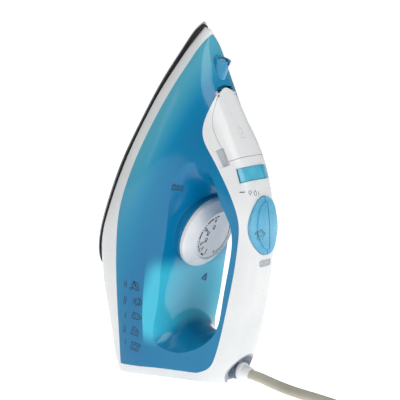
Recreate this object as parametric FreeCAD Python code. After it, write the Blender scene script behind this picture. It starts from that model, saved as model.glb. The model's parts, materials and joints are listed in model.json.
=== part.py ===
import FreeCAD, Part
import math
import os

# Steam iron, standing on its heel. Millimetres.
#
# The body is drawn in the ironing frame: s runs forward along the soleplate from its rear end,
# y to the user's left and h up from the sole. stand() then tips every piece onto the heel:
# +Z up along the iron towards its tip, +X from the soleplate towards the handle, and the origin
# on the floor in the middle of the heel's rest face.

V = FreeCAD.Vector

# ---------------------------------------------------------------- driving dimensions
HEEL_LEAN = 21.0          # the sole leans this far from upright, degrees
HEEL_DROP = 82.0          # sole's rear end to the heel's rest plane
HEEL_OFFSET = 70.0        # sole's rear end to the middle of the rest face, across the heel
HEEL_RIM = 7.5            # height of the white rim under the tank
HEEL_SCREW_X = -30.0
HEEL_SCREW_Y = 20.0
WALL = 2.4                # moulded plastic
GAP = 0.4                 # round every piece that moves
SIDE = 90.0               # half-width of every cutting prism

SOLE_LENGTH = 228.0
SOLE_PLATE = 1.6
CASTING_TOP = 9.0
COVER_TOP = 11.4
ELEMENT_RADIUS = 3.3
ELEMENT_H = 5.6           # height of the heating element over the sole
ELEMENT_BEND = 26.0       # half the distance between its legs
ELEMENT_REAR = 12.0
ELEMENT_FRONT = 140.0
POST_S = 13.0             # its two terminal posts
POST_RADIUS = 1.4
SCREW_RADIUS = 1.5

DIAL_S = 68.0             # dial axis
DIAL_RADIUS = 31.5
DIAL_FACE_RADIUS = 21.5
DIAL_BASE = 65.5
DIAL_TOP = 75.5
SPINDLE_RADIUS = 3.0
TUNNEL_RADIUS = 6.5

BUTTON_S = 101.0          # middle of the two buttons, on the crown of the handle
BUTTON_H = 119.5
BUTTON_TILT = 25.0
BUTTON_LENGTH = 24.0      # half-length and half-width of the pair
BUTTON_WIDTH = 17.5
BUTTON_PROUD = 3.2
BUTTON_TRAVEL = 3.0

SLIDER_S = 137.5          # middle of the steam slider, on the crown
SLIDER_H = 96.2
SLIDER_TILT = 41.0
SLIDER_ARC = 36.0         # the slider runs on this radius
SLIDER_WIDTH = 11.0
SLIDER_NEAR = 31.0        # its knob covers these angles at rest
SLIDER_FAR = -13.0
SLIDER_TRAVEL = 18.0

LID_S = 148.0             # rear seam of the fill lid, on the crown
LID_H = 86.5
LID_TILT = 48.0
LID_LENGTH = 60.0
LID_THICK = 1.8
LID_HINGE_BACK = 4.0      # hinge pin behind the lid's front edge and below its face
LID_HINGE_DEPTH = 3.2
LID_ROOM = 7.4            # depth kept free under the lid
LID_SWING = 5.6           # radius kept free round the hinge pin, for the lid's front end
LID_SWING_HALF = 8.9
BOSS_RADIUS = 2.4         # bosses for the hinge pins, this deep under the tank's skin
BOSS_DEPTH = 1.2
BOSS_NEAR = 9.6
BOSS_FAR = 12.6
FUNNEL_U = 25.0           # filler mouth, forward from the lid's rear seam
FUNNEL_RADIUS = 8.5
FUNNEL_BORE = 6.3
TRAY_FRONT = 47.0

NEEDLE_S = 127.0          # steam valve under the slider
NEEDLE_RADIUS = 1.6

NOZZLE_H = 30.5
NOZZLE_RADIUS = 6.3
NOZZLE_LIP = 0.5
NOZZLE_FRONT = 208.0
NOZZLE_BACK = 186.0

NEEDLE_TOP = 82.0
DIAL_COLLAR_BASE = 52.8
PUMP_Y = 8.6              # pumps either side of the middle
HOSE_RADIUS = 2.0
LAMP_LENGTH = 5.6
LAMP_HALF_WIDTH = 7.2

CORD_DIAMETER = 8.4
GLAND_Z = 8.0             # cord axis above the floor
GLAND_FACE = 56.0         # outer face of the gland ring, ahead of the origin
NOTCH_RADIUS = 16.0
NOTCH_BACK = 42.5
SWIVEL_NECK = 6.2

# ---------------------------------------------------------------- outlines
# Half-sections of the whole body: station s, then width and height of the bottom edge, of the
# widest line, of the lower and upper flank and of the shoulder under the crown, and the crown.
STATIONS = [
    (224.6, 0.8, 4.0, 1.4, 7.0, 1.4, 8.5, 1.2, 9.4, 0.8, 10.2, 10.8),
    (221.0, 3.6, 4.0, 4.6, 9.0, 4.4, 10.5, 3.8, 12.0, 2.6, 13.2, 14.0),
    (214.0, 9.0, 4.0, 10.8, 12.0, 10.2, 14.5, 8.6, 17.0, 5.8, 19.0, 20.0),
    (204.0, 15.6, 4.0, 17.6, 13.5, 16.8, 18.0, 14.0, 22.0, 9.0, 26.0, 28.0),
    (192.0, 22.4, 4.0, 24.6, 13.5, 23.2, 20.0, 19.6, 28.0, 12.4, 34.0, 37.0),
    (180.0, 28.8, 4.0, 31.2, 13.5, 29.8, 23.0, 24.8, 34.0, 15.5, 44.0, 49.0),
    (165.0, 35.6, 4.0, 38.0, 13.5, 36.4, 26.0, 30.4, 40.0, 19.0, 58.0, 66.5),
    (148.0, 41.6, 4.0, 44.4, 13.5, 42.8, 28.0, 34.6, 45.0, 21.2, 77.5, 86.5),
    (130.0, 47.0, 4.0, 50.0, 13.5, 48.4, 30.0, 38.3, 48.0, 21.6, 92.5, 102.5),
    (110.0, 51.6, 4.0, 54.6, 13.5, 53.0, 31.0, 41.4, 50.0, 21.3, 105.5, 115.5),
    (88.0, 54.6, 4.0, 57.4, 14.0, 55.6, 32.0, 43.5, 52.0, 20.8, 114.0, 125.0),
    (66.0, 55.8, 4.0, 58.8, 15.5, 57.0, 33.0, 44.5, 54.0, 20.5, 120.5, 132.0),
    (40.0, 54.4, 4.0, 59.2, 22.0, 57.2, 37.0, 45.0, 58.0, 20.5, 125.5, 137.5),
    (18.0, 47.4, 4.6, 58.2, 29.0, 55.8, 43.0, 44.0, 63.0, 20.5, 128.5, 141.0),
    (0.0, 40.0, 8.0, 56.0, 35.0, 53.4, 49.0, 42.5, 69.0, 20.5, 130.5, 142.5),
    (-20.0, 34.0, 17.0, 52.4, 41.5, 50.0, 55.0, 40.0, 76.0, 20.3, 131.5, 143.0),
    (-40.0, 30.0, 27.0, 48.4, 47.5, 46.0, 61.0, 37.0, 82.0, 20.0, 132.0, 143.0),
    (-62.0, 26.0, 38.0, 43.6, 54.0, 41.4, 67.0, 33.6, 88.0, 19.5, 132.5, 143.5),
    (-88.0, 22.0, 50.0, 38.0, 62.0, 36.2, 75.0, 30.0, 95.0, 19.0, 133.5, 144.5),
]

# Side-view seams, as (s, h).
SKIRT_SEAM = [(236, 12.5), (205, 13.5), (150, 14.3), (100, 15.2), (72, 17.2), (47, 23.4),
              (11, 34.7), (-36, 47.3), (-100, 62)]
SADDLE_SEAM = [(262, 184), (215, 130), (172, 80), (151, 57), (140, 49.5), (127, 44.2), (103, 42.8),
               (66, 47.4), (31, 53.2), (-31, 69), (-100, 89)]
SHELL_SEAM = [(260, 60), (202, 39), (191.5, 38), (186, 41.6), (176, 46), (162, 50.2), (153.5, 54.5),
              (142, 67.8), (131, 81.5), (114, 99), (100, 108.5), (83, 114), (67, 117.6),
              (47, 121), (23, 124), (-15, 127), (-26, 125.2), (-35, 117), (-50, 95), (-95, 10)]

# The hand opening in side view, at the middle, at the grip's edges, on the flanks and outside.
OPENING = [
    (0.0, [(-12, 84), (-8, 73), (8, 67), (40, 65), (75, 64), (100, 64), (112, 68), (114, 79),
           (105, 91), (86, 100), (55, 107), (20, 111), (-4, 109.5), (-12, 98)]),
    (24.0, [(-19, 86), (-14, 76), (4, 69.5), (38, 65), (75, 61), (103, 58.5), (121, 61),
            (122, 73), (108, 89), (95, 103), (64, 113.6), (31, 118.8), (3, 120), (-15, 105)]),
    (44.0, [(-38, 88), (-33, 79), (-4, 71), (31, 64), (66, 57.5), (103, 49.5), (138, 50),
            (150, 66), (140, 92), (112, 118), (66, 131), (31, 137), (0, 138), (-32, 122)]),
    (66.0, [(-60, 92), (-54, 82), (-12, 70), (26, 60), (60, 52), (103, 42), (156, 43),
            (180, 62), (170, 100), (125, 135), (68, 150), (31, 156), (-4, 156), (-50, 140)]),
]
OPENING_MIDDLE = (52.0, 84.0)

SOLE_HALF = [(SOLE_LENGTH, 0), (224, 5.2), (210, 14.2), (181, 29.2), (144, 42.4), (106, 52.4),
             (78, 55.4), (51, 55.7), (26, 50.7), (8, 39), (0, 22), (-1.5, 0)]

# Half of the fill lid's outline, back from its rear seam: along the crown, half-width.
LID_HALF = [(0, 22.6), (14, 23.3), (28, 23.0), (38, 20.6), (48, 15.4), (56, 8.4), (60, 0)]

# The cord's way over the floor, from inside the gland to the coil, and from the coil to the plug.
CORD_ROUTE = [(44, 0, 8), (68, -0.3, 7.6), (92, -3.5, 4.2), (116, -10, 4.2), (146, -14, 4.2),
              (176, -21, 4.2), (205, -30.5, 4.2), (235, -40.2, 4.2), (263.61, -45.51, 4.2)]
TAIL_ROUTE = [(219.32, -8.34, 12.6), (223.43, -22.08, 13.2), (229.94, -36.11, 13.6),
              (241.12, -48.05, 13.6), (256.59, -54.0, 13.6), (273.18, -54.47, 13.0),
              (289.68, -51.78, 12.8), (309, -44.2, 15.2), (328, -40.5, 18.5)]
COIL_CENTRE = (268.0, 4.7)
COIL_MEAN_RADIUS = 42.0
COIL_LAYERS = 2
COIL_COLUMNS = 3
TIE_WIDTH = 10.0
TIE_PROUD = 0.8
PLUG_RADIUS = 18.5
PLUG_PIN_RADIUS = 2.4
PLUG_PIN_LENGTH = 19.0
PLUG_STUB_RADIUS = 1.8
PLUG_PIN_SPACING = 19.0
PLUG_LENGTH = 50.0

# ---------------------------------------------------------------- frames and helpers
SIN = math.sin(math.radians(HEEL_LEAN))
COS = math.cos(math.radians(HEEL_LEAN))
STAND = FreeCAD.Placement(FreeCAD.Matrix(
    SIN, 0, COS, -HEEL_OFFSET,
    0, -1, 0, 0,
    COS, 0, -SIN, HEEL_DROP,
    0, 0, 0, 1))


def stand(shape):
    """Tip a shape of the ironing frame onto the heel."""
    placed = shape.copy()
    placed.Placement = STAND.multiply(placed.Placement)
    return placed


def lie(shape):
    """Take a shape of the standing frame into the ironing frame."""
    placed = shape.copy()
    placed.Placement = STAND.inverse().multiply(placed.Placement)
    return placed


def save(name, *shapes):
    """Write one node: one solid, or a group of separate solids."""
    solids = [solid for shape in shapes for solid in shape.Solids]
    shape = solids[0] if len(solids) == 1 else Part.makeCompound(solids)
    shape.exportStep("parts/" + name + ".step")
    if not shape.isValid():
        print("NOT VALID", name)
    print(name, len(solids), "solids", round(sum(solid.Volume for solid in solids) / 1000, 2), "cm3")


def crown_frame(s, h, tilt):
    """Local frame on the crown: +X forward along it, +Y left, +Z out of the surface."""
    return FreeCAD.Placement(V(s, 0, h), FreeCAD.Rotation(V(0, 1, 0), tilt))


def placed(shape, placement):
    moved = shape.copy()
    moved.Placement = placement.multiply(moved.Placement)
    return moved


def cylinder(radius, bottom, top, s=0.0, y=0.0):
    return Part.makeCylinder(radius, top - bottom, V(s, y, bottom))


def ring(outer, inner, bottom, top, s=0.0, y=0.0):
    return cylinder(outer, bottom, top, s, y).cut(cylinder(inner, bottom - 1, top + 1, s, y))


def box(s0, s1, y0, y1, h0, h1):
    return Part.makeBox(s1 - s0, y1 - y0, h1 - h0, V(s0, y0, h0))


def spline(points, closed=False):
    curve = Part.BSplineCurve()
    curve.interpolate(points, PeriodicFlag=closed)
    return curve.toShape()


def fuse(first, *others):
    return first.multiFuse(list(others)).removeSplitter()


def biggest(shape):
    return max(shape.Solids, key=lambda solid: solid.Volume)


def tube(points, radius):
    """A round rod along straight runs joined by the largest tangent arcs that fit."""
    points = [V(*point) for point in points]
    edges = []
    radii = []
    start = points[0]
    for before, corner, after in zip(points, points[1:], points[2:]):
        back = before - corner
        ahead = after - corner
        trim = 0.45 * min(back.Length, ahead.Length)
        half_turn = (math.pi - back.getAngle(ahead)) / 2
        arc_start = corner + V(back).normalize() * trim
        arc_end = corner + V(ahead).normalize() * trim
        bisector = (V(back).normalize() + V(ahead).normalize()).normalize()
        bend = trim / math.tan(half_turn)
        centre = corner + bisector * (bend / math.cos(half_turn))
        edges.append(Part.LineSegment(start, arc_start).toShape())
        edges.append(Part.Arc(arc_start, centre - bisector * bend, arc_end).toShape())
        radii.append(round(bend, 1))
        start = arc_end
    edges.append(Part.LineSegment(start, points[-1]).toShape())
    path = Part.Wire(edges)
    section = Part.Wire(Part.makeCircle(radius, points[0], points[1] - points[0]))
    solid = path.makePipeShell([section], True, False)
    return solid, path.Length, radii


# ---------------------------------------------------------------- body envelope and cutters
def body_section(station, inset):
    s, w_b, h_b, w_k, h_k, w_m, h_m, w_s, h_s, w_g, h_g, crown = station
    half = [(w_b - inset, h_b + inset), (w_k - inset, h_k), (w_m - inset, h_m),
            (w_s - inset, h_s - 0.4 * inset), (w_g - inset, h_g - 0.3 * inset),
            (0.62 * (w_g - inset), h_g + 0.8 * (crown - h_g) - 0.85 * inset)]
    points = [V(s, w, h) for w, h in half]
    points.append(V(s, 0, crown - inset))
    points += [V(s, -w, h) for w, h in reversed(half)]
    return Part.Wire([spline(points), Part.makeLine(points[-1], points[0])])


def body(inset=0.0):
    """The whole outer form, or the same form moved inwards by a wall."""
    narrowest = inset + 3.0 if inset > 0 else 0.0
    sections = [body_section(st, inset) for st in STATIONS if st[9] >= narrowest]
    return Part.makeLoft(sections, True, False)


def opening(grow=0.0):
    """The hand opening, widened by a wall's thickness."""
    def outline(y, points):
        ring_points = []
        for s, h in points:
            out = V(s - OPENING_MIDDLE[0], 0, h - OPENING_MIDDLE[1])
            ring_points.append(V(s, y, h) + out.normalize() * grow)
        return Part.Wire(spline(ring_points, True))
    right = [outline(-y, points) for y, points in reversed(OPENING[1:])]
    left = [outline(y, points) for y, points in OPENING]
    return Part.makeLoft(right + left, True, False)


def below(seam, shift=0.0):
    """Everything under a side-view seam."""
    points = [V(s, -SIDE, h + shift) for s, h in seam]
    first = points[0]
    last = points[-1]
    floor = [V(last.x, -SIDE, -150), V(first.x, -SIDE, -150)]
    edges = [spline(points), Part.makeLine(last, floor[0]), Part.makeLine(floor[0], floor[1]),
             Part.makeLine(floor[1], first)]
    return Part.Face(Part.Wire(edges)).extrude(V(0, 2 * SIDE, 0))


def slab(z0, z1):
    """The space between two heights above the floor the iron stands on."""
    return lie(Part.makeBox(600, 2 * SIDE, z1 - z0, V(-300, -SIDE, z0)))


def outline_face(inset=0.0, h=0.0):
    """The soleplate's outline, drawn in by a distance: nearly twice as far at its point."""
    rear = SOLE_HALF[-1][0]
    widest = max(y for s, y in SOLE_HALF)
    along = 1 - 2.8 * inset / (SOLE_LENGTH - rear)
    across = 1 - inset / widest
    left = [V(rear + inset + (s - rear) * along, y * across, h) for s, y in SOLE_HALF]
    right = [V(point.x, -point.y, h) for point in reversed(left[1:-1])]
    return Part.Face(Part.Wire(spline(left + right, True)))


def sole_layer(inset, bottom, top):
    return outline_face(inset, bottom).extrude(V(0, 0, top - bottom))


def half_ellipse_prism(length, width, side, bottom, top):
    """Left (+1) or right (-1) half of an elliptical prism, in a crown frame."""
    ellipse = Part.Ellipse(V(0, 0, bottom), length, width).toShape()
    prism = Part.Face(Part.Wire(ellipse)).extrude(V(0, 0, top - bottom))
    half = Part.makeBox(4 * length, 4 * width, 4 * (top - bottom), V(-2 * length, 0, bottom - 10))
    if side < 0:
        half.translate(V(0, -4 * width, 0))
    return prism.common(half)


print("body")
BODY = body()
INNER = body(WALL)
OPEN = opening()
OPEN_WALL = opening(WALL)
UNDER_SKIRT = below(SKIRT_SEAM)
UNDER_SADDLE = below(SADDLE_SEAM)
UNDER_SHELL = below(SHELL_SEAM)
ABOVE_FLOOR = slab(0, 400)
ABOVE_RIM = slab(HEEL_RIM, 400)
BUTTONS = crown_frame(BUTTON_S, BUTTON_H, BUTTON_TILT)
SLIDER = crown_frame(SLIDER_S, SLIDER_H, SLIDER_TILT)
LID = crown_frame(LID_S, LID_H, LID_TILT)
LAMP = crown_frame(72.0, 129.8, 18.0)


# ---------------------------------------------------------------- sole and heater
def u_rod(radius, h):
    """A rod bent to a U, as the heating element and the channel that it lies in."""
    rear = V(ELEMENT_REAR, -ELEMENT_BEND, h)
    front = V(ELEMENT_FRONT, -ELEMENT_BEND, h)
    tip = V(ELEMENT_FRONT + ELEMENT_BEND, 0, h)
    across = V(0, 2 * ELEMENT_BEND, 0)
    path = Part.Wire([Part.makeLine(rear, front), Part.Arc(front, tip, front + across).toShape(),
                      Part.makeLine(front + across, rear + across)])
    circle = Part.Wire(Part.makeCircle(radius, rear, V(1, 0, 0)))
    return path.makePipeShell([circle], True, False)


def steam_vents(bottom, top):
    """Steam holes in two rows down each side of the sole and a cluster at the tip."""
    holes = []
    for inset, count, skip in ((11.0, 36, 5), (19.0, 26, 4)):
        wire = outline_face(inset).OuterWire
        points = wire.discretize(Number=count)
        for point in points[:-1]:
            if point.x > 60 and not (inset > 15 and point.x < 90):
                holes.append(cylinder(1.5, bottom, top, point.x, point.y))
    return Part.makeCompound(holes)


def soleplate():
    plate = sole_layer(0.5, 0, 0.5).fuse(sole_layer(0, 0.5, SOLE_PLATE))
    return plate.cut(steam_vents(-1, SOLE_PLATE + 1))


def heater_casting():
    base = sole_layer(1.0, SOLE_PLATE, 4.0)
    boss = sole_layer(6.0, 4.0, CASTING_TOP)
    chamber = sole_layer(13.0, 4.4, CASTING_TOP + 1)
    ridge = ring(ELEMENT_BEND + 6.5, ELEMENT_BEND - 6.5, 4, CASTING_TOP, ELEMENT_FRONT)
    ridge = ridge.common(box(ELEMENT_FRONT, 200, -40, 40, 3, 12))
    arms = [box(4, ELEMENT_FRONT, side * ELEMENT_BEND - 6.5, side * ELEMENT_BEND + 6.5, 4, CASTING_TOP)
            for side in (-1, 1)]
    pillar = cylinder(12, 4, CASTING_TOP, DIAL_S)
    casting = base.fuse([boss]).cut(chamber)
    inside = ridge.multiFuse(arms + [pillar]).common(boss)
    casting = casting.fuse(inside)
    casting = casting.cut(u_rod(ELEMENT_RADIUS, ELEMENT_H)).cut(steam_vents(0, 5.4))
    for screw in cover_screw_places():
        casting = casting.cut(cylinder(SCREW_RADIUS, 5, CASTING_TOP + 1, *screw))
    for side in (-1, 1):
        casting = casting.cut(cylinder(POST_RADIUS, ELEMENT_H, CASTING_TOP + 1, POST_S,
                                       side * ELEMENT_BEND))
    return biggest(casting)


def heating_element():
    rod = u_rod(ELEMENT_RADIUS, ELEMENT_H)
    posts = [cylinder(POST_RADIUS, ELEMENT_H, 17, POST_S, side * ELEMENT_BEND) for side in (-1, 1)]
    return rod.multiFuse(posts)


def cover_screw_places():
    points = outline_face(9.8).OuterWire.discretize(Number=11)
    return [(point.x, point.y) for point in points[:-1]]


def chamber_gasket():
    gasket = sole_layer(6.5, CASTING_TOP, CASTING_TOP + 0.6)
    gasket = gasket.cut(sole_layer(13.0, CASTING_TOP - 1, CASTING_TOP + 2))
    for screw in cover_screw_places():
        gasket = gasket.cut(cylinder(SCREW_RADIUS, CASTING_TOP - 1, CASTING_TOP + 2, *screw))
    for side in (-1, 1):
        gasket = gasket.cut(cylinder(POST_RADIUS, CASTING_TOP - 1, CASTING_TOP + 2, POST_S,
                                   side * ELEMENT_BEND))
    return gasket


def chamber_cover():
    cover = sole_layer(6.5, CASTING_TOP + 0.6, COVER_TOP)
    for screw in cover_screw_places():
        cover = cover.cut(cylinder(SCREW_RADIUS, CASTING_TOP, COVER_TOP + 1, *screw))
    for side in (-1, 1):
        cover = cover.cut(cylinder(POST_RADIUS, CASTING_TOP, COVER_TOP + 1, POST_S, side * ELEMENT_BEND))
    cover = cover.cut(cylinder(4.6, CASTING_TOP, COVER_TOP + 1, NEEDLE_S))
    return cover


def cover_screws():
    screws = []
    for place in cover_screw_places():
        head = cylinder(2.6, COVER_TOP, COVER_TOP + 1.6, *place)
        shank = cylinder(SCREW_RADIUS, 6, COVER_TOP, *place)
        slot = box(place[0] - 3, place[0] + 3, place[1] - 0.4, place[1] + 0.4,
                   COVER_TOP + 0.9, COVER_TOP + 2)
        screws.append(head.fuse(shank).cut(slot))
    return screws


def thermostat():
    base = cylinder(13, COVER_TOP, COVER_TOP + 2.2, DIAL_S)
    strip = box(DIAL_S - 22, DIAL_S + 16, -5, 5, COVER_TOP + 2.2, COVER_TOP + 4.4)
    stack = cylinder(6, COVER_TOP + 4.4, COVER_TOP + 9, DIAL_S)
    contacts = box(DIAL_S - 22, DIAL_S - 14, -5, 5, COVER_TOP + 4.4, COVER_TOP + 7.4)
    return fuse(base, strip, stack, contacts)


def thermal_fuse():
    body_of_fuse = Part.makeCylinder(2.2, 26, V(28, -13, COVER_TOP + 2.6), V(0, 1, 0))
    clamp = box(25, 31, -4, 4, COVER_TOP, COVER_TOP + 5.6)
    clamp = clamp.cut(Part.makeCylinder(2.2, 30, V(28, -15, COVER_TOP + 2.6), V(0, 1, 0)))
    return body_of_fuse, clamp


# ---------------------------------------------------------------- housing
def skirt():
    zone = UNDER_SKIRT.fuse(slab(-80, HEEL_RIM))
    wall = BODY.common(zone).common(ABOVE_FLOOR).cut(INNER)
    wall = wall.cut(sole_layer(5.6, -1, 14)).cut(gland_notch())
    return biggest(wall)


def gland_notch(radius=NOTCH_RADIUS):
    return lie(Part.makeCylinder(radius, 80, V(NOTCH_BACK, 0, GLAND_Z), V(1, 0, 0)))


def heel_cover():
    """The plate that closes the heel, level with its rim, with a ribbed rest and one screw."""
    plate = INNER.common(slab(0, 2.5)).cut(gland_notch())
    plate = plate.cut(lie(Part.makeCylinder(GLAND_Z, 10, V(NOTCH_BACK - 4, 0, GLAND_Z), V(1, 0, 0))))
    for side in (-1, 1):
        plate = plate.cut(heel_rod(4.5, 0, 1.2, side)).cut(heel_rod(1.8, -1, 5, side))
    for x in (-8, -4, 4, 8, 12):
        plate = plate.cut(lie(Part.makeBox(1.2, 36, 0.8, V(x, -18, 0))))
    return biggest(plate)


def heel_rod(radius, bottom, top, side):
    """A rod on the axis of one of the two heel screws."""
    return lie(Part.makeCylinder(radius, top - bottom, V(HEEL_SCREW_X, side * HEEL_SCREW_Y, bottom)))


def heel_screws():
    screws = []
    for side in (-1, 1):
        screw = heel_rod(3.6, 0.2, 1.2, side).fuse(heel_rod(1.8, 1.2, 6.7, side))
        screws.append(screw.cut(heel_rod(1.2, -0.1, 0.6, side)))
    return screws


def under_lid(inset):
    """The room under the fill lid, for the hinge and the filler."""
    return lid_prism(2.5, -40, 20).cut(body(inset))


def nozzle_rod(radius, back, front):
    return Part.makeCylinder(radius, front - back, V(back, 0, NOZZLE_H), V(1, 0, 0))


def water_tank():
    shape = BODY.common(UNDER_SADDLE).common(UNDER_SHELL).cut(UNDER_SKIRT).common(ABOVE_RIM)
    shape = shape.cut(under_lid(LID_ROOM)).cut(lid_swing())
    for boss in hinge_bosses():
        shape = shape.cut(boss)
    cavity = INNER.common(below(SADDLE_SEAM, -WALL)).common(below(SHELL_SEAM, -WALL))
    cavity = cavity.cut(below(SKIRT_SEAM, WALL)).common(slab(HEEL_RIM + WALL, 400))
    cavity = cavity.cut(under_lid(LID_ROOM + WALL))
    pocket_top = 26.0
    keep = [cylinder(21, 0, pocket_top + WALL, DIAL_S), cylinder(TUNNEL_RADIUS + WALL, 0, 80, DIAL_S),
            nozzle_rod(NOZZLE_RADIUS + 2, NOZZLE_BACK - 2, 230)]
    for piece in keep:
        cavity = cavity.cut(piece)
    shape = shape.cut(cavity)
    for side in (-1, 1):
        shape = shape.fuse(heel_rod(4.5, 2.6, HEEL_RIM + 1, side).cut(cavity))
    drill = [heel_rod(1.8, 1.2, 6.7, -1), heel_rod(1.8, 1.2, 6.7, 1),
             cylinder(18.5, 0, pocket_top, DIAL_S), cylinder(TUNNEL_RADIUS, 0, 80, DIAL_S),
             nozzle_rod(NOZZLE_RADIUS, NOZZLE_BACK, 230),
             nozzle_rod(NOZZLE_RADIUS + NOZZLE_LIP, NOZZLE_FRONT - 3, 230),
             funnel_rod(FUNNEL_RADIUS, -28, 0), cylinder(4.5, 30, 60, NEEDLE_S),
             cylinder(5.0, 0, 22, NEEDLE_S)] + hoses()
    for piece in drill:
        shape = shape.cut(piece)
    return biggest(shape)


def handle_liner():
    shape = BODY.common(UNDER_SHELL).cut(UNDER_SADDLE).common(ABOVE_RIM).cut(OPEN)
    shape = shape.cut(INNER.cut(OPEN_WALL)).cut(under_lid(LID_ROOM))
    shape = shape.cut(cylinder(33, 40, 75, DIAL_S)).cut(gland_notch())
    return biggest(shape)


def handle_shell():
    shape = BODY.cut(UNDER_SHELL).common(ABOVE_RIM).cut(OPEN)
    shape = shape.cut(INNER.cut(OPEN_WALL))
    shape = shape.multiFuse(hinge_bosses())
    shape = shape.cut(lid_prism(GAP, -14, 20)).cut(placed(lid_pin(1.3, 0, -14, 14), LID))
    shape = shape.cut(lid_swing())
    shape = shape.cut(finger_notches()).cut(button_hole()).cut(slider_slot())
    return biggest(shape.cut(lamp_slot()).cut(gland_notch()))


# ---------------------------------------------------------------- fill lid
def lid_prism(grow, bottom, top):
    left = [V(u + (grow if u > 50 else 0), w + (grow if w else 0), bottom) for u, w in LID_HALF]
    left[0].x = -grow
    right = [V(p.x, -p.y, p.z) for p in reversed(left[:-1])]
    edges = [spline(left + right), Part.makeLine(right[-1], left[0])]
    return placed(Part.Face(Part.Wire(edges)).extrude(V(0, 0, top - bottom)), LID)


def lid_pin(radius, side, y0, y1):
    """A rod on the lid's hinge line, between two distances from the middle."""
    start = V(LID_LENGTH - LID_HINGE_BACK, y0 if side >= 0 else -y1, -LID_HINGE_DEPTH)
    return Part.makeCylinder(radius, y1 - y0, start, V(0, 1, 0))


def lid_swing():
    return placed(lid_pin(LID_SWING, 0, -LID_SWING_HALF, LID_SWING_HALF), LID)


def hinge_bosses():
    """Bosses for the lid's pins: level with the shell, and under the tank's skin below its seam."""
    buried = body(BOSS_DEPTH)
    bosses = []
    for side in (-1, 1):
        rod = placed(lid_pin(BOSS_RADIUS, side, BOSS_NEAR, BOSS_FAR), LID).common(BODY)
        bosses.append(rod.cut(rod.common(UNDER_SHELL).cut(buried)))
    return bosses


def finger_notches():
    notches = []
    for side in (-1, 1):
        rod = Part.makeCylinder(4.5, 15, V(-3, side * 26.0, -9.5), V(1, 0, 0))
        notches.append(placed(rod, LID))
    return Part.makeCompound(notches)


def fill_lid():
    skin = BODY.cut(body(LID_THICK)).common(lid_prism(0, -14, 12)).cut(finger_notches())
    for side in (-1, 1):
        knuckle = lid_pin(BOSS_RADIUS + GAP, side, BOSS_NEAR - GAP, BOSS_FAR + GAP)
        skin = skin.cut(placed(knuckle, LID))
    skin = biggest(skin)
    back = LID_LENGTH - LID_HINGE_BACK
    lugs = []
    for side in (-1, 1):
        lug = Part.makeBox(3.4, 2.0, 3.4, V(back - 1.7, side * 5.5 - 1.0, -LID_HINGE_DEPTH - 1.2))
        pin = lid_pin(0.9, side, 4.5, 12.2)
        lugs += [placed(lug, LID), placed(pin, LID)]
    return biggest(skin.multiFuse(lugs))


def funnel_rod(radius, bottom, top):
    return placed(cylinder(radius, bottom, top, FUNNEL_U), LID)


def lid_seal():
    """The soft plug under the lid that closes the filler's mouth."""
    seal = funnel_rod(5.6, -5.6, 0).fuse(funnel_rod(9.0, -3.2, 0))
    return biggest(seal.common(body(LID_THICK)))


def filler():
    """The funnel under the lid: a tray against the shell and a neck down into the tank."""
    tray = INNER.cut(body(WALL + 1.8)).common(lid_prism(3.0, -16, 12)).cut(UNDER_SHELL)
    front = Part.makeBox(60, 80, 80, V(TRAY_FRONT, -40, -40))
    tray = biggest(tray.cut(placed(front, LID)))
    whole = tray.fuse(funnel_rod(FUNNEL_RADIUS, -28, -4.0))
    whole = whole.cut(funnel_rod(FUNNEL_BORE, -40, 5)).cut(funnel_rod(9.6, -3.6, 5))
    return biggest(whole)


# ---------------------------------------------------------------- spray nozzle
def spray_nozzle():
    housing = nozzle_rod(NOZZLE_RADIUS, NOZZLE_BACK, NOZZLE_FRONT)
    lip = nozzle_rod(NOZZLE_RADIUS + NOZZLE_LIP, NOZZLE_FRONT - 3, NOZZLE_FRONT)
    housing = housing.fuse(lip).cut(nozzle_rod(4.2, NOZZLE_FRONT - 5, NOZZLE_FRONT + 1))
    slot = box(NOZZLE_FRONT - 3, NOZZLE_FRONT + 1, -1.2, 1.2, NOZZLE_H, NOZZLE_H + 9)
    return housing.cut(slot).cut(nozzle_rod(2.0, NOZZLE_BACK - 1, NOZZLE_BACK + 4))


def nozzle_tip():
    tip = Part.makeCone(4.2, 2.6, 4.2, V(NOZZLE_FRONT - 5, 0, NOZZLE_H), V(1, 0, 0))
    return tip.cut(nozzle_rod(0.5, NOZZLE_FRONT - 3, NOZZLE_FRONT + 1))


# ---------------------------------------------------------------- temperature dial
def dial_collar():
    collar = ring(33, 27, DIAL_COLLAR_BASE, DIAL_BASE - 0.4, DIAL_S)
    floor = ring(27, SPINDLE_RADIUS + GAP, DIAL_COLLAR_BASE, DIAL_COLLAR_BASE + 2, DIAL_S)
    return collar.fuse(floor).removeSplitter()


def temperature_dial():
    """A wide flat knob: a round rim, a sloping shoulder and a face sunk a little inside it."""
    profile = [V(SPINDLE_RADIUS, 0, DIAL_BASE), V(DIAL_RADIUS, 0, DIAL_BASE),
               V(DIAL_RADIUS, 0, DIAL_BASE + 3.0), V(DIAL_RADIUS - 0.9, 0, DIAL_BASE + 4.6),
               V(DIAL_FACE_RADIUS + 2, 0, DIAL_TOP - 1.0), V(DIAL_FACE_RADIUS + 1, 0, DIAL_TOP - 0.3),
               V(DIAL_FACE_RADIUS, 0, DIAL_TOP - 0.3), V(DIAL_FACE_RADIUS - 0.6, 0, DIAL_TOP - 1.0),
               V(0, 0, DIAL_TOP - 1.0), V(0, 0, DIAL_TOP - 4), V(SPINDLE_RADIUS, 0, DIAL_TOP - 4)]
    face = Part.Face(Part.makePolygon(profile + [profile[0]]))
    knob = face.revolve(V(0, 0, 0), V(0, 0, 1), 360)
    knob.translate(V(DIAL_S, 0, 0))
    return knob


def dial_spindle():
    return cylinder(SPINDLE_RADIUS, COVER_TOP + 9.4, DIAL_TOP - 4, DIAL_S)


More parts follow.
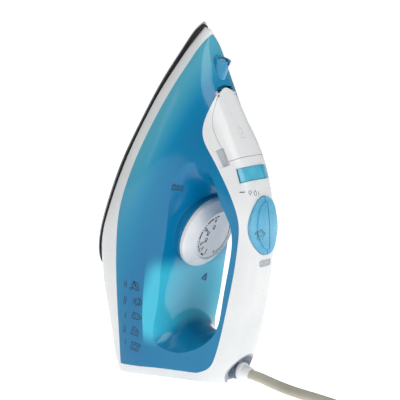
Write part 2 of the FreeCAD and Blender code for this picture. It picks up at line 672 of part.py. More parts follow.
# ---------------------------------------------------------------- steam slider and valve
def arc_sector(outer, inner, width, near, far):
    """Part of a ring round the slider's own arc, between two angles from straight up."""
    start = V(-width / 2, 0, -SLIDER_ARC)
    sector = Part.makeCylinder(outer, width, start, V(1, 0, 0))
    sector = sector.cut(Part.makeCylinder(inner, width + 2, start - V(1, 0, 0), V(1, 0, 0)))
    reach = 80.0
    middle = (near + far) / 2
    corners = [start]
    for angle in (near, middle, far):
        turn = math.radians(angle)
        corners.append(start + V(0, reach * math.sin(turn), reach * math.cos(turn)))
    wedge = Part.Face(Part.makePolygon(corners + [start])).extrude(V(width, 0, 0))
    return placed(sector.common(wedge), SLIDER)


def slider_slot():
    return arc_sector(SLIDER_ARC + 8, SLIDER_ARC - 5.4, SLIDER_WIDTH + 2 * GAP,
                      SLIDER_NEAR + 1, SLIDER_FAR - SLIDER_TRAVEL - 1)


def steam_slider():
    knob = arc_sector(SLIDER_ARC + 2.6, SLIDER_ARC - 4, SLIDER_WIDTH, SLIDER_NEAR, SLIDER_FAR)
    groove = arc_sector(SLIDER_ARC + 4, SLIDER_ARC + 1.4, SLIDER_WIDTH + 4,
                        SLIDER_NEAR - 5, SLIDER_FAR + 5)
    knob = knob.cut(groove)
    flange = arc_sector(SLIDER_ARC - 3.7, SLIDER_ARC - 5.7, SLIDER_WIDTH + 5,
                        SLIDER_NEAR + 5, SLIDER_FAR - 8)
    arm = arc_sector(SLIDER_ARC - 5, SLIDER_ARC - 13, 4, 12, 4)
    return fuse(knob, flange, arm)


def valve_needle():
    stem = cylinder(NEEDLE_RADIUS, 17, NEEDLE_TOP, NEEDLE_S)
    tip = Part.makeCone(0.5, NEEDLE_RADIUS, 1.6, V(NEEDLE_S, 0, 15.4), V(0, 0, 1))
    head = cylinder(3.5, NEEDLE_TOP - 2, NEEDLE_TOP, NEEDLE_S)
    return fuse(stem, tip, head)


def valve_seat():
    seat = cylinder(4.6, CASTING_TOP + 0.6, 15, NEEDLE_S).fuse(cylinder(5.0, 15, 19, NEEDLE_S))
    seat = seat.cut(cylinder(NEEDLE_RADIUS + GAP, 15, 20, NEEDLE_S))
    return seat.cut(cylinder(1.0, CASTING_TOP, 16, NEEDLE_S))


def needle_guide():
    return ring(4.5, NEEDLE_RADIUS + GAP, 40, 49, NEEDLE_S)


# ---------------------------------------------------------------- buttons and pumps
def button_place(side):
    return crown_frame(BUTTON_S, BUTTON_H, BUTTON_TILT).multiply(
        FreeCAD.Placement(V(0, side * PUMP_Y, 0), FreeCAD.Rotation()))


def button_hole():
    ellipse = Part.Ellipse(V(0, 0, -9), BUTTON_LENGTH, BUTTON_WIDTH).toShape()
    return placed(Part.Face(Part.Wire(ellipse)).extrude(V(0, 0, 24)), BUTTONS)


def push_button(side):
    length = BUTTON_LENGTH - GAP
    width = BUTTON_WIDTH - GAP
    half = half_ellipse_prism(length, width, side, -7, 12)
    gap = Part.makeBox(80, 2 * GAP, 40, V(-40, -GAP, -20))
    base = placed(half.cut(gap), BUTTONS).common(body(-BUTTON_PROUD + 1.2))
    raised = half_ellipse_prism(length - 4.5, width - 4.5, side, -7, 12)
    pad = placed(raised.cut(gap), BUTTONS).common(body(-BUTTON_PROUD - 0.6))
    pocket = placed(cylinder(5.0, -8, -2), button_place(side))
    return biggest(base.fuse(pad).cut(pocket))


def pump_piston(side):
    rod = cylinder(2.2, -14.5, -2)
    return placed(rod, button_place(side))


def pump_body(side):
    barrel = cylinder(6.2, -18.5, -12).cut(cylinder(2.2 + GAP, -18, -11))
    barrel = barrel.cut(ring(4.6, 3.0, -15.6, -11))
    return placed(barrel, button_place(side))


def return_spring(side):
    helix = Part.makeHelix(1.9, 9.5, 3.8)
    wire = Part.Wire(helix.Edges)
    section = Part.Wire(Part.makeCircle(0.35, V(3.8, 0, 0), V(0, 1, 0)))
    spring = wire.makePipeShell([section], True, True)
    spring.translate(V(0, 0, -11.9))
    return placed(spring, button_place(side))


def hoses():
    """Rubber hoses from the two pumps: one to the spray nozzle, one down to the sole."""
    spray = [(104, -13, 97), (122, -13, 88), (132, -13, 66), (140, -13, 46), (164, -7, 34),
             (NOZZLE_BACK, 0, NOZZLE_H)]
    burst = [(104, 13, 97), (122, 13, 88), (130, 13, 66), (136, 13, 46), (138, 13, COVER_TOP)]
    return [tube(spray, HOSE_RADIUS)[0], tube(burst, HOSE_RADIUS)[0]]


# ---------------------------------------------------------------- lamp and wiring
def lamp_slot():
    slot = Part.makeBox(LAMP_LENGTH, 2 * LAMP_HALF_WIDTH, 30,
                        V(-LAMP_LENGTH / 2, -LAMP_HALF_WIDTH, -10))
    corners = [edge for edge in slot.Edges if abs(edge.Length - 30) < 0.01]
    return placed(slot.makeFillet(2.0, corners), LAMP)


def lamp_lens():
    return biggest(lamp_slot().common(body(-0.3)).cut(body(WALL + 1.2)))


def pilot_lamp():
    return placed(Part.makeCylinder(2.3, 12, V(0, -6, -7.4), V(0, 1, 0)), LAMP)


def terminal_block():
    """Mains terminals in the foot of the handle, on the cover's side."""
    block = Part.makeBox(20, 24, 11, V(8, -12, 12))
    for y in (-8, 0, 8):
        block = block.cut(Part.makeCylinder(2.2, 12, V(7, y, 17.5), V(1, 0, 0)))
        block = block.cut(Part.makeCylinder(1.6, 6, V(18, y, 18), V(0, 0, 1)))
    return lie(block)


def wiring():
    wires = []
    for y in (-8, 0, 8):
        route = [(18, y, 12), (17, y, 5.2), (0, y, 4.6), (-24, y * 0.8, 4.9),
                 (-44, y * 0.8, 5.0), (-50, y * 0.8, 20), (-52, y * 0.8, 40), (-53, y * 0.8, 66)]
        wires.append(lie(tube(route, 1.1)[0]))
    return wires


# ---------------------------------------------------------------- cord, gland and plug
def gland_cup():
    cup = Part.makeCylinder(NOTCH_RADIUS, 20, V(NOTCH_BACK, 0, GLAND_Z), V(1, 0, 0))
    cup = cup.cut(Part.makeCylinder(NOTCH_RADIUS - 1.8, 30, V(NOTCH_BACK + 2, 0, GLAND_Z), V(1, 0, 0)))
    cup = cup.cut(Part.makeCylinder(SWIVEL_NECK + GAP, 10, V(NOTCH_BACK - 1, 0, GLAND_Z), V(1, 0, 0)))
    return biggest(lie(cup).common(body(0.6)).common(slab(0.4, 60)))


def cord_swivel():
    """The turning gland: a flange inside, a ribbed sleeve and a round end ring."""
    def rod(radius, x0, x1):
        return Part.makeCylinder(radius, x1 - x0, V(x0, 0, GLAND_Z), V(1, 0, 0))
    parts = [rod(SWIVEL_NECK + 1.4, NOTCH_BACK - 3.4, NOTCH_BACK - GAP),
             rod(SWIVEL_NECK, NOTCH_BACK - 3, 54), rod(7.3, GLAND_FACE - 3.4, GLAND_FACE)]
    for rib in range(5):
        start = NOTCH_BACK + 2.6 + 1.8 * rib
        parts.append(rod(SWIVEL_NECK + 0.5, start, start + 0.9))
    gland = parts[0].multiFuse(parts[1:])
    gland = gland.cut(rod(CORD_DIAMETER / 2 + 0.6, NOTCH_BACK - 5, GLAND_FACE + 1))
    return lie(gland.removeSplitter())


def tie_box(margin, half_length):
    """A box round the coil's bundle, on the side nearest the iron."""
    half_width = COIL_COLUMNS * CORD_DIAMETER / 2 + margin
    x, y = COIL_CENTRE[0] - COIL_MEAN_RADIUS, COIL_CENTRE[1]
    top = COIL_LAYERS * CORD_DIAMETER + margin
    bottom = max(0, -margin)
    return Part.makeBox(2 * half_width, 2 * half_length, top - bottom,
                        V(x - half_width, y - half_length, bottom))


def cord_coil():
    """The put-away turns, as one ring the size of their bundle, a little narrower under its tie."""
    width = COIL_COLUMNS * CORD_DIAMETER / 2
    height = COIL_LAYERS * CORD_DIAMETER
    coil = ring(COIL_MEAN_RADIUS + width, COIL_MEAN_RADIUS - width, 0, height, *COIL_CENTRE)
    return coil.cut(tie_box(TIE_PROUD, TIE_WIDTH / 2)).fuse(tie_box(-TIE_PROUD, TIE_WIDTH / 2 + 1))


def cord_tie():
    return tie_box(TIE_PROUD, TIE_WIDTH / 2).cut(tie_box(-TIE_PROUD, TIE_WIDTH))


def plug_frame():
    x, y, z = TAIL_ROUTE[-1]
    return FreeCAD.Placement(V(x, y, z), FreeCAD.Rotation(V(0, 1, 0), V(0, 0, 1), V(1, 0, 0)))


def plug_body():
    profile = [V(0, 0, 0), V(7, 0, 0), V(8.5, 0, 10), V(12.5, 0, 22), V(13, 0, 30),
               V(PLUG_RADIUS - 2, 0, 33), V(PLUG_RADIUS, 0, 36), V(PLUG_RADIUS, 0, PLUG_LENGTH - 1),
               V(PLUG_RADIUS - 1, 0, PLUG_LENGTH), V(0, 0, PLUG_LENGTH)]
    shape = Part.Face(Part.makePolygon(profile + [profile[0]])).revolve(V(0, 0, 0), V(0, 0, 1), 360)
    for side in (-1, 1):
        earth_groove = Part.makeBox(6, 4, 18, V(-3, side * 17.5 - 2, PLUG_LENGTH - 16))
        shape = shape.cut(earth_groove)
        shape = shape.cut(cylinder(PLUG_STUB_RADIUS, PLUG_LENGTH - 8, PLUG_LENGTH + 1,
                                   side * PLUG_PIN_SPACING / 2))
    return placed(shape, plug_frame())


def plug_pins():
    pins = []
    for side in (-1, 1):
        x = side * PLUG_PIN_SPACING / 2
        pin = cylinder(PLUG_PIN_RADIUS, PLUG_LENGTH, PLUG_LENGTH + PLUG_PIN_LENGTH, x)
        tip = max(pin.Edges, key=lambda edge: edge.BoundBox.ZMin)
        pin = pin.makeFillet(1.2, [tip])
        stub = cylinder(PLUG_STUB_RADIUS, PLUG_LENGTH - 8, PLUG_LENGTH, x)
        pins.append(placed(pin.fuse(stub), plug_frame()))
    return pins


# ---------------------------------------------------------------- write every piece
def build_all():
    os.makedirs("parts", exist_ok=True)
    in_ironing_frame = [
        ("soleplate", soleplate), ("heater_casting", heater_casting),
        ("heating_element", heating_element), ("chamber_gasket", chamber_gasket),
        ("chamber_cover", chamber_cover), ("cover_screws", cover_screws),
        ("thermostat", thermostat), ("thermal_fuse", thermal_fuse), ("skirt", skirt),
        ("heel_cover", heel_cover), ("heel_screws", heel_screws), ("water_tank", water_tank),
        ("handle_liner", handle_liner), ("handle_shell", handle_shell), ("fill_lid", fill_lid),
        ("lid_seal", lid_seal), ("filler", filler), ("spray_nozzle", spray_nozzle),
        ("nozzle_tip", nozzle_tip), ("dial_collar", dial_collar),
        ("temperature_dial", temperature_dial), ("dial_spindle", dial_spindle),
        ("steam_slider", steam_slider), ("valve_needle", valve_needle),
        ("valve_seat", valve_seat), ("needle_guide", needle_guide), ("pump_hoses", hoses),
        ("lamp_lens", lamp_lens), ("pilot_lamp", pilot_lamp),
        ("terminal_block", terminal_block), ("wiring", wiring), ("gland_cup", gland_cup),
        ("cord_swivel", cord_swivel),
    ]
    for name, make in in_ironing_frame:
        made = make()
        made = list(made) if isinstance(made, (list, tuple)) else [made]
        save(name, *[stand(shape) for shape in made])
    for name, side in (("burst", 1), ("spray", -1)):
        save(name + "_button", stand(push_button(side)))
        save(name + "_piston", stand(pump_piston(side)))
        save(name + "_pump", stand(pump_body(side)))
        save(name + "_spring", stand(return_spring(side)))

    cord, cord_length, cord_radii = tube(CORD_ROUTE, CORD_DIAMETER / 2)
    tail, tail_length, tail_radii = tube(TAIL_ROUTE, CORD_DIAMETER / 2)
    area = math.pi * CORD_DIAMETER ** 2 / 4
    print("cord", round(cord_length, 1), "radii", cord_radii, cord.Volume / (area * cord_length))
    print("tail", round(tail_length, 1), "radii", tail_radii, tail.Volume / (area * tail_length))
    save("power_cord", cord)
    save("cord_tail", tail)
    save("cord_coil", cord_coil())
    save("cord_tie", cord_tie())
    save("plug_body", plug_body())
    save("plug_pins", *plug_pins())


build_all()
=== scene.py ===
import json
import math

import bmesh
import bpy
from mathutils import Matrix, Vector
from mathutils.bvhtree import BVHTree


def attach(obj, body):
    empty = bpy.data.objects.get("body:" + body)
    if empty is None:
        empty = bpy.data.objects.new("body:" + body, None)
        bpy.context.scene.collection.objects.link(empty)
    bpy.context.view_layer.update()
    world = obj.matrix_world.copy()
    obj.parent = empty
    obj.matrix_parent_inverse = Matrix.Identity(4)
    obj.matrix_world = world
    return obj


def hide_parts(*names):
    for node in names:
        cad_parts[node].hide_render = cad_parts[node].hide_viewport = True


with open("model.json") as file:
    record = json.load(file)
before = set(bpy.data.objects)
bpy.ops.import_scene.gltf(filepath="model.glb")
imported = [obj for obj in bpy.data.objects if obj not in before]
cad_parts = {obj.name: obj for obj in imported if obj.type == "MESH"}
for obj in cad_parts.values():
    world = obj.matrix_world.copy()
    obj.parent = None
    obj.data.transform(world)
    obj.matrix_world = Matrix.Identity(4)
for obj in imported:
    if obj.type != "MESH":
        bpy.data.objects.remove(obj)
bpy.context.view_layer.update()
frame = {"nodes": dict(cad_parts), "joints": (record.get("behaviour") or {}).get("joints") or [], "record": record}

# Steam iron standing on its heel. Metres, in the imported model's frame: +Z up along the iron,
# +X from the soleplate towards the handle, the origin on the floor under the heel.
NODES = frame["nodes"]
JOINTS = {joint["name"]: joint for joint in frame["joints"]}
MM = 0.001

# The ironing frame in millimetres: s forward along the sole, y to the left, h up from the sole.
HEEL_LEAN = math.radians(21)
HEEL_DROP = 82.0
HEEL_OFFSET = 70.0
SIN = math.sin(HEEL_LEAN)
COS = math.cos(HEEL_LEAN)
FORWARD = Vector((SIN, 0, COS))
LEFT = Vector((0, -1, 0))
UP = Vector((COS, 0, -SIN))


def at(s, y, h):
    """A point of the ironing frame, in millimetres, as a point of the row frame in metres."""
    return (FORWARD * s + LEFT * y + UP * h + Vector((-HEEL_OFFSET, 0, HEEL_DROP))) * MM


# ---------------------------------------------------------------- camera
CAMERA_PLACE = Vector((0.7706, -0.9079, 0.3349))
CAMERA_TARGET = Vector((0.00866, 0.0, 0.14716))
CAMERA_LENS = 129.6       # millimetres, on a sensor this wide
CAMERA_SENSOR = 36.0


def make_camera():
    data = bpy.data.cameras.new("camera")
    data.lens = CAMERA_LENS
    data.sensor_width = CAMERA_SENSOR
    camera = bpy.data.objects.new("camera", data)
    camera.location = CAMERA_PLACE
    camera.rotation_euler = (CAMERA_TARGET - CAMERA_PLACE).to_track_quat("-Z", "Y").to_euler()
    bpy.context.scene.collection.objects.link(camera)
    bpy.context.scene.camera = camera


# ---------------------------------------------------------------- materials
def rgb(red, green, blue):
    """Display colour, 0 to 255, as a linear colour."""
    out = []
    for value in (red, green, blue):
        value /= 255
        out.append(value / 12.92 if value <= 0.04045 else ((value + 0.055) / 1.055) ** 2.4)
    return (*out, 1.0)


def start_material(name):
    material = bpy.data.materials.new(name)
    material.use_nodes = True
    tree = material.node_tree
    return material, tree, tree.nodes["Principled BSDF"]


def noise(tree, scale, detail=3.0, stretch=(1, 1, 1)):
    """Fractal noise fixed to the piece, stretched along an axis where its finish has a grain."""
    coords = tree.nodes.new("ShaderNodeTexCoord")
    mapping = tree.nodes.new("ShaderNodeMapping")
    mapping.inputs["Scale"].default_value = stretch
    texture = tree.nodes.new("ShaderNodeTexNoise")
    texture.inputs["Scale"].default_value = scale
    texture.inputs["Detail"].default_value = detail
    tree.links.new(coords.outputs["Object"], mapping.inputs["Vector"])
    tree.links.new(mapping.outputs["Vector"], texture.inputs["Vector"])
    return texture.outputs["Fac"]


def ramp(tree, value, stops):
    """Colour stops at positions of a value."""
    node = tree.nodes.new("ShaderNodeValToRGB")
    elements = node.color_ramp.elements
    while len(elements) < len(stops):
        elements.new(0.5)
    for element, (place, colour) in zip(elements, stops):
        element.position = place
        element.color = colour
    tree.links.new(value, node.inputs["Fac"])
    return node.outputs["Color"]


def spread(tree, value, low, high):
    """A value of 0.3 to 0.7, as noise mostly gives, spread over another range."""
    node = tree.nodes.new("ShaderNodeMapRange")
    node.inputs["From Min"].default_value = 0.3
    node.inputs["From Max"].default_value = 0.7
    node.inputs["To Min"].default_value = low
    node.inputs["To Max"].default_value = high
    tree.links.new(value, node.inputs["Value"])
    return node.outputs["Result"]


def bump(tree, shader, value, depth, strength=1.0):
    node = tree.nodes.new("ShaderNodeBump")
    node.inputs["Distance"].default_value = depth
    node.inputs["Strength"].default_value = strength
    tree.links.new(value, node.inputs["Height"])
    tree.links.new(node.outputs["Normal"], shader.inputs["Normal"])


def finish(name, colour, shade, roughness, grain=900.0, depth=0.00002, cloud=35.0,
           stretch=(1, 1, 1), **settings):
    """A moulded, cast, rolled or rubber finish: soft colour variation and a fine surface grain."""
    material, tree, shader = start_material(name)
    clouds = noise(tree, cloud, 2.0)
    tree.links.new(ramp(tree, clouds, [(0.35, shade), (0.65, colour)]), shader.inputs["Base Color"])
    fine = noise(tree, grain, 3.0, stretch)
    low, high = roughness
    tree.links.new(spread(tree, fine, low, high), shader.inputs["Roughness"])
    bump(tree, shader, fine, depth)
    for socket, value in settings.items():
        shader.inputs[socket.replace("_", " ")].default_value = value
    return material


def along(tree, direction, offset):
    """Distance along a direction of the row frame, in millimetres."""
    coords = tree.nodes.new("ShaderNodeTexCoord")
    dot = tree.nodes.new("ShaderNodeVectorMath")
    dot.operation = "DOT_PRODUCT"
    dot.inputs[1].default_value = direction / MM
    add = tree.nodes.new("ShaderNodeMath")
    add.operation = "ADD"
    add.inputs[1].default_value = offset
    tree.links.new(coords.outputs["Object"], dot.inputs[0])
    tree.links.new(dot.outputs["Value"], add.inputs[0])
    return add.outputs["Value"]


def between(tree, value, low, high):
    """0 to 1 as a value goes from low to high, eased at both ends."""
    node = tree.nodes.new("ShaderNodeMapRange")
    node.interpolation_type = "SMOOTHSTEP"
    node.inputs["From Min"].default_value = low
    node.inputs["From Max"].default_value = high
    tree.links.new(value, node.inputs["Value"])
    return node.outputs["Result"]


def mix(tree, factor, first, second):
    node = tree.nodes.new("ShaderNodeMix")
    node.data_type = "RGBA"
    tree.links.new(factor, node.inputs["Factor"])
    for socket, value in ((node.inputs["A"], first), (node.inputs["B"], second)):
        if isinstance(value, tuple):
            socket.default_value = value
        else:
            tree.links.new(value, socket)
    return node.outputs["Result"]


def times(tree, first, second):
    node = tree.nodes.new("ShaderNodeMath")
    node.operation = "MULTIPLY"
    tree.links.new(first, node.inputs[0])
    if isinstance(second, float):
        node.inputs[1].default_value = second
    else:
        tree.links.new(second, node.inputs[1])
    return node.outputs["Value"]


# Where the tank's painted shade and painted light change, in millimetres above the sole or forward of its rear
# end.
PAINTED_SHADE_DEEPENS = (22.0, 52.0)
PAINTED_LIGHT_BELOW = (40.0, 16.0)
PAINTED_LIGHT_FORWARD = (20.0, 130.0)
PAINTED_LIGHT_SHARE = 0.85
DRIFT_NOISE = (0.42, 0.68)
DRIFT_SHARE = 0.16
# Painted highlight on the hand opening's floor: the heights and the places forward where it is laid.
PAINTED_FLOOR_LIGHT_ABOVE = (50.0, 62.0)
PAINTED_FLOOR_LIGHT_BELOW = (84.0, 72.0)
PAINTED_FLOOR_LIGHT_FRONT = (50.0, 30.0)
PAINTED_FLOOR_LIGHT_REAR = (-34.0, -16.0)


def tank_plastic(name, deep, bright, pale, floor=None):
    """Tinted clear plastic with painted shade and light: painted shade makes it deep above and bright low down,
    painted light makes it pale near the skirt at the front.
    Where a colour is given for the hand opening's floor, a painted highlight makes the floor lighter."""
    material, tree, shader = start_material(name)
    height = along(tree, UP, COS * HEEL_OFFSET + SIN * HEEL_DROP)
    forward = along(tree, FORWARD, SIN * HEEL_OFFSET - COS * HEEL_DROP)
    # Painted shade: the colour goes from bright low down to deep above.
    colour = mix(tree, between(tree, height, *PAINTED_SHADE_DEEPENS), bright, deep)
    # Painted light: the colour turns pale near the skirt at the front.
    low_edge = between(tree, height, *PAINTED_LIGHT_BELOW)
    front = between(tree, forward, *PAINTED_LIGHT_FORWARD)
    colour = mix(tree, times(tree, times(tree, low_edge, front), PAINTED_LIGHT_SHARE), colour, pale)
    clouds = noise(tree, 16.0, 1.5, (1.0, 1.0, 0.35))
    drift = times(tree, between(tree, clouds, *DRIFT_NOISE), DRIFT_SHARE)
    colour = mix(tree, drift, colour, pale)
    # Painted highlight: the hand opening's floor, which lies in shade, is lightened towards the floor colour.
    if floor:
        level = times(tree, between(tree, height, *PAINTED_FLOOR_LIGHT_ABOVE),
                      between(tree, height, *PAINTED_FLOOR_LIGHT_BELOW))
        level = times(tree, level, between(tree, forward, *PAINTED_FLOOR_LIGHT_FRONT))
        level = times(tree, level, between(tree, forward, *PAINTED_FLOOR_LIGHT_REAR))
        colour = mix(tree, level, colour, floor)
    tree.links.new(colour, shader.inputs["Base Color"])
    fine = noise(tree, 260.0, 2.0)
    tree.links.new(spread(tree, fine, 0.10, 0.18), shader.inputs["Roughness"])
    bump(tree, shader, noise(tree, 30.0, 1.0), 0.0004, 0.35)
    shader.inputs["Transmission Weight"].default_value = 0.12
    shader.inputs["IOR"].default_value = 1.49
    shader.inputs["Specular IOR Level"].default_value = 0.3
    shader.inputs["Coat Weight"].default_value = 0.2
    shader.inputs["Coat Roughness"].default_value = 0.06
    return material


WHITE = rgb(236, 238, 238)
PLASTIC = {"Coat_Weight": 0.25, "Coat_Roughness": 0.12}
FINISHES = {
    "sole_metal": lambda: finish("sole_metal", rgb(176, 178, 180), rgb(148, 150, 153), (0.22, 0.36),
                                 700.0, 0.00001, 20.0, (1, 1, 0.04), Metallic=1.0),
    "cast_aluminium": lambda: finish("cast_aluminium", rgb(60, 60, 62), rgb(36, 36, 38),
                                     (0.42, 0.6), 1500.0, 0.00005, 60.0, Metallic=0.6),
    "heater_metal": lambda: finish("heater_metal", rgb(150, 146, 140), rgb(110, 104, 98),
                                   (0.35, 0.55), 900.0, Metallic=1.0),
    "screw_steel": lambda: finish("screw_steel", rgb(205, 206, 208), rgb(170, 172, 175),
                                  (0.2, 0.32), 1200.0, Metallic=1.0),
    "brass": lambda: finish("brass", rgb(214, 184, 110), rgb(188, 156, 88), (0.22, 0.36),
                            900.0, 0.00001, 90.0, (1, 0.05, 1), Metallic=1.0),
    "gasket_rubber": lambda: finish("gasket_rubber", rgb(70, 66, 64), rgb(50, 48, 46), (0.6, 0.8)),
    "seal_silicone": lambda: finish("seal_silicone", rgb(214, 216, 218), rgb(196, 198, 202),
                                    (0.45, 0.6)),
    "black_plastic": lambda: finish("black_plastic", rgb(44, 44, 46), rgb(30, 30, 32), (0.4, 0.55)),
    "white_plastic": lambda: finish("white_plastic", WHITE, rgb(229, 231, 233), (0.24, 0.34),
                                    1400.0, 0.000006, 30.0, **PLASTIC),
    "dial_white": lambda: finish("dial_white", rgb(240, 241, 242), rgb(228, 230, 233), (0.3, 0.42),
                                 1400.0, 0.00001, 40.0, **PLASTIC),
    "grey_plastic": lambda: finish("grey_plastic", rgb(186, 192, 198), rgb(168, 175, 182),
                                   (0.35, 0.5)),
    # The tank's and liner's deep, bright and pale colours carry painted shade and painted light.
    "tank_blue": lambda: tank_plastic("tank_blue", rgb(0, 122, 174), rgb(0, 148, 194),
                                      rgb(96, 184, 206)),
    # The liner's last colour is a painted highlight for the hand opening's floor.
    "liner_blue": lambda: tank_plastic("liner_blue", rgb(0, 124, 176), rgb(0, 144, 192),
                                       rgb(50, 174, 204), rgb(70, 206, 236)),
    "button_blue": lambda: finish("button_blue", rgb(110, 190, 222), rgb(86, 172, 210),
                                  (0.22, 0.32), 1200.0, 0.00001, 40.0, **PLASTIC),
    "slider_blue": lambda: finish("slider_blue", rgb(88, 186, 214), rgb(58, 164, 200),
                                  (0.16, 0.26), 1200.0, 0.00001, 60.0, **PLASTIC),
    "nozzle_blue": lambda: finish("nozzle_blue", rgb(30, 154, 198), rgb(12, 130, 180),
                                  (0.2, 0.3), 1200.0, 0.00001, 60.0, **PLASTIC),
    "lens_grey": lambda: finish("lens_grey", rgb(222, 225, 230), rgb(206, 210, 218), (0.2, 0.3),
                                500.0, 0.00003, 60.0, Transmission_Weight=0.35),
    "lamp_glass": lambda: finish("lamp_glass", rgb(236, 150, 96), rgb(206, 110, 66), (0.08, 0.14),
                                 500.0, Transmission_Weight=0.5),
    "cup_grey": lambda: finish("cup_grey", rgb(176, 182, 192), rgb(150, 158, 170), (0.3, 0.45)),
    "gland_grey": lambda: finish("gland_grey", rgb(128, 140, 156), rgb(104, 116, 134),
                                 (0.35, 0.5)),
    "cord_rubber": lambda: finish("cord_rubber", rgb(192, 187, 173), rgb(178, 173, 158),
                                  (0.38, 0.5), 1600.0, 0.00003, 45.0),
    "plug_plastic": lambda: finish("plug_plastic", rgb(196, 191, 178), rgb(184, 178, 164),
                                   (0.35, 0.5), 1000.0, 0.00002),
    "wire_sleeve": lambda: finish("wire_sleeve", rgb(150, 96, 60), rgb(120, 74, 44), (0.4, 0.55)),
    "print_dark": lambda: finish("print_dark", rgb(14, 34, 54), rgb(8, 24, 42), (0.5, 0.65)),
    "print_grey": lambda: finish("print_grey", rgb(84, 92, 102), rgb(66, 74, 84), (0.4, 0.55)),
    "print_black": lambda: finish("print_black", rgb(38, 40, 44), rgb(24, 26, 30), (0.4, 0.55)),
    "print_pale": lambda: finish("print_pale", rgb(204, 208, 213), rgb(192, 196, 202), (0.3, 0.4)),
    "mark_blue": lambda: finish("mark_blue", rgb(0, 92, 148), rgb(0, 78, 132), (0.25, 0.35)),
}
OWN_FINISH = {"temperature_dial": "dial_white", "steam_slider": "slider_blue",
              "spray_nozzle": "nozzle_blue", "cord_swivel": "gland_grey",
              "gland_cup": "cup_grey"}
MADE = {}


def material(name):
    if name not in MADE:
        MADE[name] = FINISHES[name]()
    return MADE[name]


def finish_nodes():
    """Give every CAD node its material."""
    slots = {part["node"]: part["material_slot"] for part in frame["record"]["subparts"]}
    for name, obj in NODES.items():
        obj.data.materials.clear()
        obj.data.materials.append(material(OWN_FINISH.get(name, slots[name])))


# ---------------------------------------------------------------- making pieces
def make_object(name, mesh, body, finish_name):
    obj = bpy.data.objects.new(name, mesh)
    bpy.context.scene.collection.objects.link(obj)
    obj.data.materials.append(material(finish_name))
    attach(obj, body)
    return obj


def from_bmesh(bm, name, smooth_angle=math.radians(35)):
    bmesh.ops.recalc_face_normals(bm, faces=bm.faces)
    mesh = bpy.data.meshes.new(name)
    bm.to_mesh(mesh)
    bm.free()
    mesh.polygons.foreach_set("use_smooth", [True] * len(mesh.polygons))
    mesh.set_sharp_from_angle(angle=smooth_angle)
    return mesh


def turned(name, profile, centre, steps=72):
    """A closed solid turned round the X direction: profile is (distance along, radius)."""
    bm = bmesh.new()
    rings = []
    for x, radius in profile:
        ring = []
        for step in range(steps):
            turn = 2 * math.pi * step / steps
            ring.append(bm.verts.new(centre + Vector((x, radius * math.cos(turn),
                                                      radius * math.sin(turn))) * MM))
        rings.append(ring)
    for first, second in zip(rings, rings[1:]):
        for step in range(steps):
            after = (step + 1) % steps
            bm.faces.new((first[step], first[after], second[after], second[step]))
    bm.faces.new(rings[0])
    bm.faces.new(list(reversed(rings[-1])))
    return from_bmesh(bm, name, math.radians(40))


# ---------------------------------------------------------------- printed and raised marks
class Surface:
    """A patch of a CAD node's surface that marks are laid on, with its own right and up."""

    def __init__(self, node, place, outward, up):
        mesh = NODES[node].data
        self.tree = BVHTree.FromPolygons([v.co for v in mesh.vertices],
                                         [tuple(p.vertices) for p in mesh.polygons])
        outward = outward.normalized()
        hit, normal, _, _ = self.tree.ray_cast(place + outward * 0.03, -outward)
        if hit is None:
            hit, normal, _, _ = self.tree.find_nearest(place)
        if normal.dot(outward) < 0:
            normal = -normal
        self.place = hit
        self.out = normal
        self.up = (up - normal * up.dot(normal)).normalized()
        self.right = self.up.cross(normal)

    def hit(self, a, b):
        """Surface point and normal at a point a right and b up of the patch's middle, in mm."""
        start = self.place + (self.right * a + self.up * b) * MM
        point, normal, _, _ = self.tree.ray_cast(start + self.out * 0.012, -self.out)
        if point is None:
            return start, self.out
        if normal.dot(self.out) < 0:
            normal = -normal
        return point, normal


def resample(points, closed, step):
    loop = list(points) + ([points[0]] if closed else [])
    out = []
    for (a0, b0), (a1, b1) in zip(loop, loop[1:]):
        count = max(1, math.ceil(math.hypot(a1 - a0, b1 - b0) / step))
        out += [(a0 + (a1 - a0) * i / count, b0 + (b1 - b0) * i / count) for i in range(count)]
    if not closed:
        out.append(loop[-1])
    return out


def add_stroke(bm, surface, points, width, closed=False, proud=0.12, sunk=0.1, step=1.0):
    """A thin solid ribbon along a line on the surface."""
    line = resample(points, closed, step)
    count = len(line)
    rows = []
    for i, (a, b) in enumerate(line):
        before = line[i - 1] if closed or i else line[i]
        after = line[(i + 1) % count] if closed or i < count - 1 else line[i]
        da, db = after[0] - before[0], after[1] - before[1]
        size = math.hypot(da, db) or 1.0
        na, nb = -db / size * width / 2, da / size * width / 2
        row = []
        for side in (1, -1):
            point, normal = surface.hit(a + side * na, b + side * nb)
            row += [bm.verts.new(point + normal * proud * MM),
                    bm.verts.new(point - normal * sunk * MM)]
        rows.append(row)
    pairs = list(zip(rows, rows[1:] + ([rows[0]] if closed else [])))
    for (lt, lb, rt, rb), (lt2, lb2, rt2, rb2) in pairs:
        for face in ((lt, rt, rt2, lt2), (lb, lb2, rb2, rb), (lt, lt2, lb2, lb), (rt, rb, rb2, rt2)):
            bm.faces.new(face)
    if not closed:
        lt, lb, rt, rb = rows[0]
        bm.faces.new((lt, lb, rb, rt))
        lt, lb, rt, rb = rows[-1]
        bm.faces.new((lt, rt, rb, lb))


def circle(a, b, radius, start=0.0, end=360.0, count=20):
    turns = [math.radians(start + (end - start) * i / count) for i in range(count + 1)]
    points = [(a + radius * math.cos(t), b + radius * math.sin(t)) for t in turns]
    return points[:-1] if end - start >= 360 else points


def make_marks(name, surface, strokes, body, finish_name, slot=None, **extra):
    """Each stroke is (points, width, closed)."""
    bm = bmesh.new()
    for points, width, closed in strokes:
        add_stroke(bm, surface, points, width, closed, **extra)
    return make_object(name, from_bmesh(bm, name), body, finish_name)


